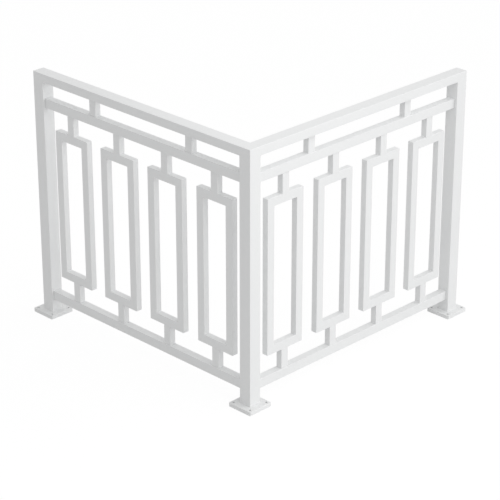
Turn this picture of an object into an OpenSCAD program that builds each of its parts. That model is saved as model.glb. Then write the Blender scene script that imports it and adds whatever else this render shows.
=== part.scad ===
// Corner railing for a balcony or terrace: two bays at a right angle, three posts on base plates,
// and four tall rectangular frames in each bay between a bottom rail and a middle rail.
// The origin is on the floor under the axis of the corner post.
// The right bay runs along +X, the left bay along +Y, and +Z is up.

/* [Posts] */
// Width of a square post
post_w = 50; // [44:1:60]
// Rounding of the edges of the posts and the top rails
post_edge_r = 1.5; // [1:0.5:4]

/* [Base plates] */
// Width of a square base plate
plate_w = 105; // [90:1:140]
// Thickness of a base plate
plate_t = 15; // [6:1:20]
// Rounding of a base plate's corners, seen from above
plate_corner_r = 5; // [2:0.5:8]
// Rounding of a base plate's upper and lower edges
plate_edge_r = 1.5; // [0.5:0.5:3]
// Diameter of a bolt hole
bolt_hole_d = 9; // [6:0.5:11]
// Distance from a plate's edge to the centre of a bolt hole
bolt_hole_inset = 12.5; // [10:0.5:15]
// Leg of the weld round the foot of a post
foot_weld_leg = 2; // [1.5:0.5:6]

/* [Rails] */
// Height of a top rail, which is as deep as a post is wide
top_rail_h = 32; // [24:1:50]
// Height of the middle and bottom rails
rail_h = 35; // [26:1:44]
// Depth of the middle and bottom rails
rail_d = 30; // [28:1:40]
// Rounding of the edges of the middle and bottom rails
rail_edge_r = 1; // [0.5:0.5:4]

/* [Frames] */
// Width of a frame, over its tubes
frame_w = 173; // [120:1:240]
// Height of a frame, over its tubes
frame_h = 585; // [400:1:700]
// Width of the frame tube, seen from the front
tube_w = 32; // [20:1:40]
// Depth of the frame tube, from front to back
tube_d = 24; // [20:1:26]
// Rounding of the edges of the frame tube
tube_edge_r = 1; // [0.5:0.5:3]
// Rounding of the outer corners of a frame
frame_corner_r = 3; // [1:0.5:5]

/* [Spacing] */
// Gap between a post and the frame next to it
post_gap = 47; // [20:1:110]
// Gap between two frames
frame_gap = 73; // [20:1:110]
// Gap between the floor and the bottom rail
floor_gap = 63; // [30:1:100]
// Length of the stubs between the bottom rail and the frames
lower_stub_l = 74; // [20:1:120]
// Length of the stubs between the frames and the middle rail
upper_stub_l = 75; // [20:1:120]
// Length of the stubs between the middle rail and the top rail
top_stub_l = 65; // [20:1:120]

/* [Tube wall] */
// Wall thickness of the posts, rails, frames and stubs
wall = 2; // [1.5:0.1:3]

/* [Hidden] */

$fn = 48;
frame_count = 4;
white_coat = [0.93, 0.94, 0.94];

// Heights, stacked from the floor
bottom_rail_z = floor_gap;
lower_stub_z = bottom_rail_z + rail_h;
frame_z = lower_stub_z + lower_stub_l;
upper_stub_z = frame_z + frame_h;
middle_rail_z = upper_stub_z + upper_stub_l;
top_stub_z = middle_rail_z + rail_h;
top_rail_z = top_stub_z + top_stub_l;

// Places along a bay, counted from the corner post's axis
frame_pitch = frame_w + frame_gap;
first_frame_x = post_w / 2 + post_gap + frame_w / 2;
last_frame_x = first_frame_x + (frame_count - 1) * frame_pitch;
bay_l = last_frame_x + frame_w / 2 + post_gap + post_w / 2;

// Middle of frame number i, and of the gap that top stub number i stands over
function frame_x(i) = first_frame_x + (i - 1) * frame_pitch;
function top_stub_x(i) = (frame_x(2 * i - 1) + frame_x(2 * i)) / 2;

// The left bay is the right bay mirrored about the upright plane through the corner
module in_left_bay() {
    mirror([1, -1, 0]) children();
}

// Outline of a tube or plate with round corners, centred
module round_rectangle(width, height, radius) {
    square([width - 2 * radius, height], center = true);
    square([width, height - 2 * radius], center = true);
    for (x = [-1, 1], y = [-1, 1])
        translate([x * (width / 2 - radius), y * (height / 2 - radius)])
            circle(r = radius);
}

// Rectangular tube along +Z from the origin, open at both ends
module upright_tube(length, width, depth, radius) {
    linear_extrude(length)
        difference() {
            round_rectangle(width, depth, radius);
            square([width - 2 * wall, depth - 2 * wall], center = true);
        }
}

module post() {
    color(white_coat)
        translate([0, 0, plate_t])
            upright_tube(top_rail_z - plate_t, post_w, post_w, post_edge_r);
}

// Square plate with rounded edges, drilled at its four corners
module base_plate() {
    hole_offset = plate_w / 2 - bolt_hole_inset;
    color(white_coat)
        difference() {
            intersection() {
                linear_extrude(plate_t) round_rectangle(plate_w, plate_w, plate_corner_r);
                plate_bar();
                rotate([0, 0, 90]) plate_bar();
            }
            for (x = [-1, 1], y = [-1, 1])
                translate([x * hole_offset, y * hole_offset, -1])
                    cylinder(d = bolt_hole_d, h = plate_t + 2);
        }
}

// A bar with the plate's section, rounded along its four edges
module plate_bar() {
    translate([0, 0, plate_t / 2])
        rotate([90, 0, 0])
            linear_extrude(2 * plate_w, center = true)
                round_rectangle(plate_w, plate_t, plate_edge_r);
}

// Three-cornered weld that runs round the foot of a post
module foot_weld() {
    straight_l = post_w - 2 * post_edge_r;
    color(white_coat)
        translate([0, 0, plate_t])
            for (turn = [0 : 90 : 270])
                rotate([0, 0, turn]) {
                    translate([post_w / 2, straight_l / 2, 0])
                        rotate([90, 0, 0])
                            linear_extrude(straight_l) weld_section();
                    translate([straight_l / 2, straight_l / 2, 0])
                        rotate_extrude(angle = 90)
                            translate([post_edge_r, 0]) weld_section();
                }
}

module weld_section() {
    polygon([[0, 0], [foot_weld_leg, 0], [0, foot_weld_leg]]);
}

// Top rail along +X: mitred at the corner, capped at the far end, rounded along its upper edges
module top_rail() {
    rail_end_x = bay_l + post_w / 2;
    color(white_coat)
        translate([0, 0, top_rail_z])
            intersection() {
                difference() {
                    translate([-post_w / 2, 0, 0])
                        rotate([90, 0, 90])
                            linear_extrude(rail_end_x + post_w / 2) top_rail_section();
                    translate([-post_w, wall - post_w / 2, wall])
                        cube([rail_end_x + post_w - wall, post_w - 2 * wall, top_rail_h - 2 * wall]);
                }
                linear_extrude(top_rail_h) top_rail_plan(rail_end_x);
            }
}

// Section of a top rail, with its underside at zero and square lower edges
module top_rail_section() {
    translate([-post_w / 2, 0]) square([post_w, top_rail_h - post_edge_r]);
    translate([post_edge_r - post_w / 2, 0]) square([post_w - 2 * post_edge_r, top_rail_h]);
    for (x = [-1, 1])
        translate([x * (post_w / 2 - post_edge_r), top_rail_h - post_edge_r])
            circle(r = post_edge_r);
}

// A top rail seen from above: its corners follow the edges of the posts, and it ends at the mitre
module top_rail_plan(rail_end_x) {
    intersection() {
        translate([(rail_end_x - post_w / 2) / 2, 0])
            round_rectangle(rail_end_x + post_w / 2, post_w, post_edge_r);
        polygon([[-post_w, -post_w], [rail_end_x + post_w, -post_w],
                 [rail_end_x + post_w, post_w], [post_w, post_w]]);
    }
}

// Rail along +X between the faces of two posts, with its underside at height z
module rail(z) {
    color(white_coat)
        translate([post_w / 2, 0, z + rail_h / 2])
            rotate([90, 0, 90])
                upright_tube(bay_l - post_w, rail_d, rail_h, rail_edge_r);
}

// Welded frame number i: four lengths of tube, mitred at the corners
module frame(i) {
    color(white_coat)
        translate([frame_x(i), 0, frame_z + frame_h / 2])
            rotate([90, 0, 0])
                difference() {
                    intersection() {
                        union() {
                            frame_sides(frame_w, frame_h);
                            rotate([0, 0, 90]) frame_sides(frame_h, frame_w);
                        }
                        linear_extrude(2 * tube_d, center = true)
                            round_rectangle(frame_w, frame_h, frame_corner_r);
                    }
                    linear_extrude(tube_d - 2 * wall, center = true)
                        frame_hollow();
                }
}

// Two opposite sides of a frame, solid, cut to their mitres
module frame_sides(length, span) {
    for (turn = [0, 180])
        rotate([0, 0, turn])
            intersection() {
                translate([0, (span - tube_w) / 2, 0])
                    rotate([90, 0, 90])
                        linear_extrude(length, center = true)
                            round_rectangle(tube_w, tube_d, tube_edge_r);
                linear_extrude(2 * tube_d, center = true)
                    polygon([[-length / 2, span / 2], [length / 2, span / 2],
                             [length / 2 - tube_w, span / 2 - tube_w],
                             [tube_w - length / 2, span / 2 - tube_w]]);
            }
}

// The hollow of the frame tube, all the way round
module frame_hollow() {
    inner_wall = tube_w - wall;
    difference() {
        square([frame_w - 2 * wall, frame_h - 2 * wall], center = true);
        square([frame_w - 2 * inner_wall, frame_h - 2 * inner_wall], center = true);
    }
}

// Short upright length of frame tube at place x, from height z
module stub(x, z, length) {
    color(white_coat)
        translate([x, 0, z])
            upright_tube(length, tube_w, tube_d, tube_edge_r);
}

post();  // corner_post
translate([bay_l, 0, 0]) post();  // right_end_post
translate([0, bay_l, 0]) post();  // left_end_post

base_plate();  // corner_base_plate
translate([bay_l, 0, 0]) base_plate();  // right_base_plate
translate([0, bay_l, 0]) base_plate();  // left_base_plate

foot_weld();  // corner_foot_weld
translate([bay_l, 0, 0]) foot_weld();  // right_foot_weld
translate([0, bay_l, 0]) foot_weld();  // left_foot_weld

top_rail();  // right_top_rail
in_left_bay() top_rail();  // left_top_rail

rail(middle_rail_z);  // right_middle_rail
in_left_bay() rail(middle_rail_z);  // left_middle_rail

rail(bottom_rail_z);  // right_bottom_rail
in_left_bay() rail(bottom_rail_z);  // left_bottom_rail

for (i = [1 : frame_count]) {
    frame(i);
    in_left_bay() frame(i);

    stub(frame_x(i), lower_stub_z, lower_stub_l);
    in_left_bay() stub(frame_x(i), lower_stub_z, lower_stub_l);

    stub(frame_x(i), upper_stub_z, upper_stub_l);
    in_left_bay() stub(frame_x(i), upper_stub_z, upper_stub_l);
}

for (i = [1 : frame_count / 2]) {
    stub(top_stub_x(i), top_stub_z, top_stub_l);
    in_left_bay() stub(top_stub_x(i), top_stub_z, top_stub_l);
}
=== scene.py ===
import math

import bpy
from mathutils import Matrix, Vector


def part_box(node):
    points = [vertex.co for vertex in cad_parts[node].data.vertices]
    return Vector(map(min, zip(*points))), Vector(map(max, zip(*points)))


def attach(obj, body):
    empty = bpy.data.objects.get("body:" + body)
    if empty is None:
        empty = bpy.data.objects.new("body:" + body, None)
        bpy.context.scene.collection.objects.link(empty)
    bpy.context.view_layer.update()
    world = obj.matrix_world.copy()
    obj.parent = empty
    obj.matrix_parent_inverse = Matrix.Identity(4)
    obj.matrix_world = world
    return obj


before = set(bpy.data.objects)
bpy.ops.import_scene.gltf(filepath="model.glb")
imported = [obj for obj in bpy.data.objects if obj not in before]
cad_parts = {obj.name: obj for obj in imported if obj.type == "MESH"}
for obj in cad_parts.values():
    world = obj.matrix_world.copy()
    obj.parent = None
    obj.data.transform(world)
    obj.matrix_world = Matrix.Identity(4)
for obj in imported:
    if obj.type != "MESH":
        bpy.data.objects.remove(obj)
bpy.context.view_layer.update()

# The camera stands before the corner post, higher than the top rail, and looks down on both bays.
# A long lens keeps the uprights close to parallel, as they are in the photograph.
photo_px = 500
focal_px = 2000
camera_pitch = math.radians(24.38)
camera_distance = 6.675
aim = Vector((0, 0, 0.593))
sensor_mm = 36
diagonal = math.sqrt(0.5)

towards_camera = Vector((-diagonal * math.cos(camera_pitch),
                         -diagonal * math.cos(camera_pitch),
                         math.sin(camera_pitch)))
camera_data = bpy.data.cameras.new("camera")
camera_data.sensor_width = sensor_mm
camera_data.lens = sensor_mm * focal_px / photo_px
camera = bpy.data.objects.new("camera", camera_data)
camera.location = aim + camera_distance * towards_camera
camera.rotation_euler = (-towards_camera).to_track_quat("-Z", "Y").to_euler()
bpy.context.scene.collection.objects.link(camera)
bpy.context.scene.camera = camera

# Posts: three lengths of square steel tube, the corner one shared by both bays.
# They are welded to their base plates and under the top rails, then powder coated white with the rest.
coat_white = (0.874, 0.880, 0.881, 1)
coat_thin_white = (0.850, 0.857, 0.859, 1)
peel_size = 0.0016
film_patch_size = 0.16
dust_size = 0.0006
noise_detail = 2
noise_middle = 0.5
dust_spread = 0.10
film_spread = 0.08
coat_gloss = 0.45


class Shade:
    """A socket in a material. Sums, differences and products of values add the Math nodes they need."""

    def __init__(self, tree, socket):
        self.tree = tree
        self.socket = socket

    def node(self, kind, settings, sockets, output=0):
        """Adds a node of this kind, sets it up, fills or links its sockets, and gives one of its outputs."""
        made = self.tree.nodes.new(kind)
        for name, value in settings.items():
            setattr(made, name, value)
        for name, value in sockets.items():
            if isinstance(value, Shade):
                self.tree.links.new(value.socket, made.inputs[name])
            else:
                made.inputs[name].default_value = value
        return Shade(self.tree, made.outputs[output])

    def math(self, operation, first, second):
        return self.node("ShaderNodeMath", {"operation": operation}, {0: first, 1: second})

    def __add__(self, other):
        return self.math("ADD", self, other)

    def __radd__(self, other):
        return self.math("ADD", other, self)

    def __sub__(self, other):
        return self.math("SUBTRACT", self, other)

    def __rsub__(self, other):
        return self.math("SUBTRACT", other, self)

    def __mul__(self, other):
        return self.math("MULTIPLY", self, other)

    def __rmul__(self, other):
        return self.math("MULTIPLY", other, self)


def powder_coat(name, full_white, thin_white, peel_height, roughness):
    """Satin white powder coat: an even film with fine orange peel, a little greyer where it is thin."""
    coat = bpy.data.materials.new(name)
    coat.use_nodes = True
    tree = coat.node_tree
    shader = tree.nodes["Principled BSDF"]
    start = Shade(tree, None)
    place = start.node("ShaderNodeTexCoord", {}, {}, "Object")
    peel, film, dust = (place.node("ShaderNodeTexNoise", {},
                                   {"Vector": place, "Scale": 1 / size, "Detail": noise_detail})
                        for size in (peel_size, film_patch_size, dust_size))
    colour_a, colour_b, mixed_colour = 6, 7, 2
    tone = place.node("ShaderNodeMix", {"data_type": "RGBA"},
                      {"Factor": film, colour_a: thin_white, colour_b: full_white}, mixed_colour)
    satin = roughness + dust_spread * (dust - noise_middle) + film_spread * (film - noise_middle)
    bump = place.node("ShaderNodeBump", {}, {"Strength": 1.0, "Distance": peel_height, "Height": peel})
    tree.links.new(tone.socket, shader.inputs["Base Color"])
    tree.links.new(satin.socket, shader.inputs["Roughness"])
    tree.links.new(bump.socket, shader.inputs["Normal"])
    shader.inputs["Specular IOR Level"].default_value = coat_gloss
    return coat


def coat_nodes(names, coat):
    """Gives these pieces of the railing a coat in place of their plain one."""
    for name in names:
        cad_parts[name].data.materials.clear()
        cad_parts[name].data.materials.append(coat)


sides = ("left", "right")
tube_coat = powder_coat("tube_powder_coat", coat_white, coat_thin_white,
                        peel_height=0.00009, roughness=0.40)
coat_nodes(["corner_post", "left_end_post", "right_end_post"], tube_coat)

# Base plates: thick square plates, cut, drilled near their corners and eased along all edges.
# The coat lies a little heavier on the flat plate, and a weld runs all round the foot of each post.
# The welds are coloured darker and greyer than the coat, as painted shade for the crevices where they lie.
# Weld colours: painted shade, darker than the coat, for the crevices at the joints.
painted_shade_weld_white = (0.790, 0.796, 0.797, 1)
painted_shade_weld_thin_white = (0.750, 0.757, 0.759, 1)
plate_coat = powder_coat("plate_powder_coat", coat_white, coat_thin_white,
                         peel_height=0.00012, roughness=0.44)
# The weld coat carries the painted shade in its darker colours.
painted_shade_weld_coat = powder_coat("weld_powder_coat_painted_shade", painted_shade_weld_white, painted_shade_weld_thin_white,
                        peel_height=0.00016, roughness=0.42)
coat_nodes([f"{place}_base_plate" for place in ("corner", *sides)], plate_coat)
coat_nodes([f"{place}_foot_weld" for place in ("corner", *sides)], painted_shade_weld_coat)

# Rails: flat top rails mitred over the corner post, and lighter middle and bottom rails between the posts.
# They are cut from rectangular tube and welded to the posts.
coat_nodes([f"{side}_{level}_rail" for side in sides for level in ("top", "middle", "bottom")], tube_coat)

# Frames and stubs: tall frames mitred from flat tube, each held by short lengths of the same tube.
# The outer corners of the frames are ground round and the joints are dressed before coating.
coat_nodes([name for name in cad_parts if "_frame_" in name or "_stub_" in name], tube_coat)

# Welds where the stubs stand on the rails: a small bead of weld all round the tube, dressed by hand.
# Each is a ring with a bulging, faintly rippled face from its toe on the rail to its top edge on the stub.
stub_side_leg = 0.0014
stub_face_leg = 0.0010
stub_rise = 0.0014
weld_sink = 0.0003
tube_edge_r = 0.0010
bead_bulge = 0.012
bead_segments = 19
bead_rows = 3
corner_segments = 4
ripple_size = 0.0022
ripple_height = 0.0003


def select_edges(piece, wanted):
    """Selects the edges of a mesh in edit mode that pass the test, which gets the places of both ends."""
    bpy.ops.object.mode_set(mode="OBJECT")
    points = piece.data.vertices
    for part in (*points, *piece.data.polygons):
        part.select = False
    for edge in piece.data.edges:
        first, second = (points[i] for i in edge.vertices)
        edge.select = wanted(first.co, second.co)
        first.select |= edge.select
        second.select |= edge.select
    bpy.ops.object.mode_set(mode="EDIT")


def rounded_outline(width, depth, corner_r, height):
    """A loop of edges with round corners, its straight runs divided finely enough for the ripple."""
    bpy.ops.object.select_all(action="DESELECT")
    bpy.ops.mesh.primitive_circle_add(vertices=4, radius=diagonal, location=(0, 0, height),
                                      rotation=(0, 0, math.radians(45)))
    outline = bpy.context.object
    bpy.ops.object.transform_apply()
    bpy.ops.object.mode_set(mode="EDIT")
    bpy.ops.mesh.select_mode(type="EDGE")
    bpy.ops.mesh.select_all(action="SELECT")
    bpy.ops.transform.resize(value=(width, depth, 1))
    bpy.ops.mesh.bevel(offset=corner_r, segments=corner_segments, affect="VERTICES")
    select_edges(outline, lambda a, b: (a - b).length > 2 * corner_r)
    bpy.ops.mesh.subdivide(number_cuts=bead_segments)
    bpy.ops.object.mode_set(mode="OBJECT")
    return outline


def weld_ring(width, depth, edge_r, side_leg, face_leg, rise, sink, bulge):
    """A bead round a tube that stands on the floor of its own mesh, with its root sunk into what it joins."""
    root = rounded_outline(width, depth, edge_r, -sink)
    toe = rounded_outline(width + 2 * side_leg, depth + 2 * face_leg, edge_r + face_leg, -sink)
    top = rounded_outline(width, depth, edge_r, rise)
    for outline in (root, toe, top):
        outline.select_set(True)
    bpy.ops.object.join()
    ring = bpy.context.object
    near = 1e-5

    def on_tube(p):
        return abs(p.x) < width / 2 + near and abs(p.y) < depth / 2 + near

    def on_top(p):
        return p.z > rise - near

    bpy.ops.object.mode_set(mode="EDIT")
    select_edges(ring, lambda a, b: not on_top(a) and not on_top(b))
    bpy.ops.mesh.bridge_edge_loops()
    select_edges(ring, lambda a, b: on_tube(a) and on_tube(b))
    bpy.ops.mesh.bridge_edge_loops()
    select_edges(ring, lambda a, b: (on_top(a) or not on_tube(a)) and (on_top(b) or not on_tube(b)))
    bpy.ops.mesh.bridge_edge_loops(number_cuts=bead_rows, interpolation="LINEAR", profile_shape="SPHERE",
                                   profile_shape_factor=bulge)
    bpy.ops.mesh.select_all(action="SELECT")
    bpy.ops.mesh.normals_make_consistent(inside=False)
    bpy.ops.object.mode_set(mode="OBJECT")
    return ring


def copies_of(pattern, name, coat, places):
    """Copies the pattern to each place, joins the copies into one piece, ripples each bead and coats them."""
    bpy.ops.object.select_all(action="DESELECT")
    for place in places:
        copy = pattern.copy()
        copy.data = pattern.data.copy()
        copy.data.transform(place)
        bpy.context.scene.collection.objects.link(copy)
        copy.select_set(True)
        bpy.context.view_layer.objects.active = copy
    bpy.ops.object.join()
    piece = bpy.context.object
    piece.name = name
    ripple = piece.modifiers.new("ripple", "DISPLACE")
    ripple.texture = bpy.data.textures.new("ripple", "CLOUDS")
    ripple.texture.noise_scale = ripple_size
    ripple.strength = ripple_height
    bpy.ops.object.modifier_apply(modifier="ripple")
    bpy.ops.object.shade_smooth()
    piece.data.materials.append(coat)
    bpy.data.objects.remove(pattern)
    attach(piece, "root")


def joint(node, top):
    """Where a stub ends: on top of what carries it, or turned over under what it holds."""
    low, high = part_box(node)
    middle = (low + high) / 2
    turned = Matrix.Rotation(math.radians(90 if node.startswith("left") else 0), 4, "Z")
    over = Matrix.Rotation(math.radians(180 if top else 0), 4, "X")
    return Matrix.Translation((middle.x, middle.y, high.z if top else low.z)) @ turned @ over


stub_low, stub_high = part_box("right_lower_stub_1")
stub_width = stub_high.x - stub_low.x
stub_depth = stub_high.y - stub_low.y
lower_stubs = sorted(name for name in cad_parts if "_lower_stub_" in name)
upper_stubs = sorted(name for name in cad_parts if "_upper_stub_" in name)
top_stubs = sorted(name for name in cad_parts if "_top_stub_" in name)

rail_joints = [joint(node, False) for node in lower_stubs + top_stubs]
rail_joints += [joint(node, True) for node in upper_stubs + top_stubs]
bead = weld_ring(stub_width, stub_depth, tube_edge_r, stub_side_leg, stub_face_leg,
                 rise=stub_rise, sink=weld_sink, bulge=bead_bulge)
# These beads take the weld coat with its painted shade.
copies_of(bead, "stub_to_rail_welds", painted_shade_weld_coat, rail_joints)

# Welds where the stubs meet the frames: the tubes are flush at the front and back, so the bead is
# ground flat there and is coated like the tubes, without the painted shade of the other welds, and only its
# two sides stand out as small fillets.
flush_leg = 0.0001
ground_bulge = 0.003
frame_joints = [joint(node, True) for node in lower_stubs] + [joint(node, False) for node in upper_stubs]
bead = weld_ring(stub_width, stub_depth, tube_edge_r, stub_side_leg, flush_leg,
                 rise=stub_rise, sink=tube_edge_r, bulge=ground_bulge)
copies_of(bead, "stub_to_frame_welds", tube_coat, frame_joints)

# Welds where the middle and bottom rails butt against the posts: a full bead round the end of the rail,
# laid in one pass from the toe on the post to the face of the rail and left a little proud.
rail_leg = 0.0018


def rail_end(node, far):
    """The end of a rail against a post, with the bead's own up turned to point along the rail."""
    low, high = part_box(node)
    middle = (low + high) / 2
    turned = Matrix.Rotation(math.radians(90 if node.startswith("left") else 0), 4, "Z")
    along = turned @ Vector((1, 0, 0))
    reach = (high - low).dot(along) / 2
    out = Matrix.Rotation(math.radians(-90 if far else 90), 4, "Y")
    return Matrix.Translation(middle + along * (reach if far else -reach)) @ turned @ out


rail_low, rail_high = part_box("right_middle_rail")
rail_height = rail_high.z - rail_low.z
rail_depth = rail_high.y - rail_low.y
post_joints = [rail_end(f"{side}_{level}_rail", far)
               for side in sides for level in ("middle", "bottom") for far in (False, True)]
bead = weld_ring(rail_height, rail_depth, tube_edge_r, rail_leg, rail_leg,
                 rise=rail_leg, sink=weld_sink, bulge=bead_bulge)
# These beads take the weld coat with its painted shade.
copies_of(bead, "rail_to_post_welds", painted_shade_weld_coat, post_joints)

# Welds under the top rails: the posts are flush with the rails outside, where the joint is ground away,
# so a bead is left only along each side of a post that faces its bay.
post_edge_r = 0.0015
head_depth = 0.0020


def post_head(node, bay_side):
    """The head of a post under the rails, turned by so many degrees that the bead lies towards its bay."""
    low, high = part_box(node)
    middle = (low + high) / 2
    turned = Matrix.Rotation(math.radians(bay_side), 4, "Z")
    over = Matrix.Rotation(math.radians(180), 4, "X")
    return Matrix.Translation((middle.x, middle.y, high.z)) @ turned @ over


post_low, post_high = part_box("corner_post")
post_width = post_high.x - post_low.x
bead = weld_ring(post_width, post_width, post_edge_r, rail_leg, flush_leg,
                 rise=rail_leg, sink=weld_sink, bulge=bead_bulge)
bpy.ops.object.mode_set(mode="EDIT")
bpy.ops.mesh.select_all(action="SELECT")
bpy.ops.mesh.bisect(plane_co=(post_width / 2 - head_depth, 0, 0), plane_no=(1, 0, 0),
                    use_fill=True, clear_inner=True)
bpy.ops.mesh.select_all(action="SELECT")
bpy.ops.mesh.normals_make_consistent(inside=False)
bpy.ops.object.mode_set(mode="OBJECT")
head_joints = [post_head("corner_post", 0), post_head("corner_post", 90),
               post_head("left_end_post", 270), post_head("right_end_post", 180)]
# These beads take the weld coat with its painted shade.
copies_of(bead, "post_head_welds", painted_shade_weld_coat, head_joints)

# Floor: a plain pale sheet that the base plates stand on. It looks white to the camera,
# keeps a faint soft shadow of the railing, and throws some light back up.
floor_size = 60
floor_drop = 0.0002
plain_white = (1, 1, 1, 1)
floor_tone = 0.80
shown_white = 0.92
floor_glow = 1.02
bpy.ops.object.select_all(action="DESELECT")
bpy.ops.mesh.primitive_plane_add(size=floor_size, location=(0, 0, -floor_drop))
floor = bpy.context.object
floor.name = "floor"
floor_sheet = bpy.data.materials.new("floor_sheet")
floor_sheet.use_nodes = True
sheet_tree = floor_sheet.node_tree
sheet_tree.nodes.remove(sheet_tree.nodes["Principled BSDF"])
sheet = Shade(sheet_tree, None)


def seen_directly(start):
    """One for what the camera sees, also in gloss and through glass, and zero for light that bounces."""
    kinds = ("Is Camera Ray", "Is Glossy Ray", "Is Transmission Ray")
    direct, glossy, through = (start.node("ShaderNodeLightPath", {}, {}, kind) for kind in kinds)
    return start.math("MAXIMUM", direct, start.math("MAXIMUM", glossy, through))


floor_seen = seen_directly(sheet)
matt = sheet.node("ShaderNodeBsdfDiffuse", {}, {"Color": floor_tone + (1 - floor_tone) * floor_seen})
glow = sheet.node("ShaderNodeEmission", {}, {"Color": plain_white, "Strength": floor_glow})
mixed = sheet.node("ShaderNodeMixShader", {}, {0: shown_white * floor_seen, 1: matt, 2: glow})
sheet_tree.links.new(mixed.socket, sheet_tree.nodes["Material Output"].inputs["Surface"])
floor.data.materials.append(floor_sheet)

# Light: an even white room, a broad low lamp from the right, and a softbox that hangs over the front.
# Together they give the right-hand faces and the tops their white and leave the left-hand faces light grey.
room_light = 0.597
lamp_strength = 1.23
lamp_softness = math.radians(50)
towards_lamp = Vector((0.740, -0.621, 0.259))
softbox_watts = 19.7
softbox_size = 1.6
softbox_place = Vector((0, -1.6, 3.0))
softbox_aim = Vector((0.4, 0.1, 0.5))

room = bpy.data.worlds.new("room")
room.use_nodes = True
bpy.context.scene.world = room
room_tree = room.node_tree
walls = Shade(room_tree, None)
walls_seen = seen_directly(walls)
strength = walls_seen + room_light * (1 - walls_seen)
backdrop = room_tree.nodes["Background"]
backdrop.inputs["Color"].default_value = plain_white
room_tree.links.new(strength.socket, backdrop.inputs["Strength"])

lamp_data = bpy.data.lights.new("low_lamp", "SUN")
lamp_data.energy = lamp_strength
lamp_data.angle = lamp_softness
lamp = bpy.data.objects.new("low_lamp", lamp_data)
lamp.rotation_euler = towards_lamp.to_track_quat("Z", "Y").to_euler()
bpy.context.scene.collection.objects.link(lamp)

softbox_data = bpy.data.lights.new("softbox", "AREA")
softbox_data.energy = softbox_watts
softbox_data.size = softbox_size
softbox = bpy.data.objects.new("softbox", softbox_data)
softbox.location = softbox_place
softbox.rotation_euler = (softbox_place - softbox_aim).to_track_quat("Z", "Y").to_euler()
softbox.visible_camera = False
bpy.context.scene.collection.objects.link(softbox)

# Colours are shown as they are written.
bpy.context.scene.view_settings.view_transform = "Standard"
